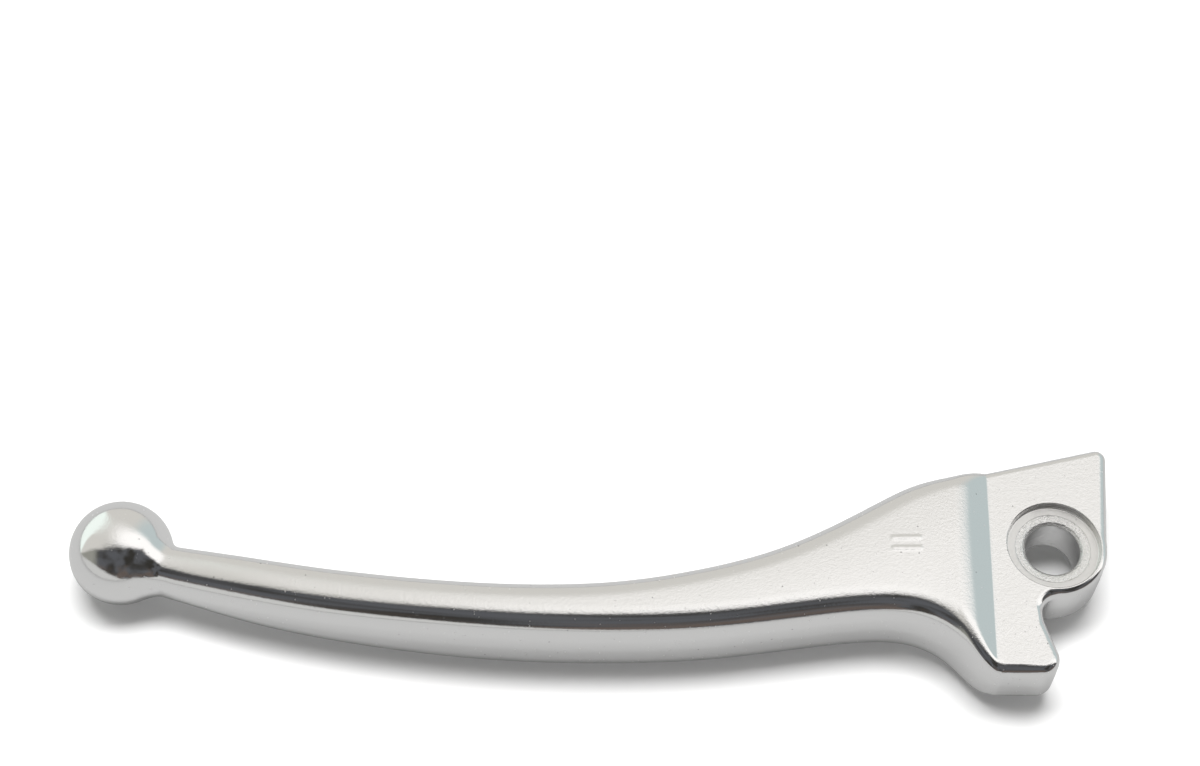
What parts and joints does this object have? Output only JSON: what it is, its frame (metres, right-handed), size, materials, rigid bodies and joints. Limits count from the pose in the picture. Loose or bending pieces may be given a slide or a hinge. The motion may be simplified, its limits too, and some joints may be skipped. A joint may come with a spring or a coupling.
{
  "type": "brake lever",
  "caption": "Curved hand lever in polished cast aluminium with a ball end, a drilled pivot boss and a hook that pushes a brake piston.",
  "frame": {"origin": "middle of the underside of the bounding box, with the lever lying on its back face", "axes": "+X along the lever towards the pivot, +Y to the hollow side of the curved arm, +Z out of the front face along the pivot axis"},
  "size_m": [0.172, 0.041, 0.0167],
  "materials": {
    "polished_aluminium": "polished casting, with a machined finish in the bore and on the spot faces"
  },
  "bodies": {
    "root": {"brake_lever": "polished_aluminium"}
  },
  "joints": []
}
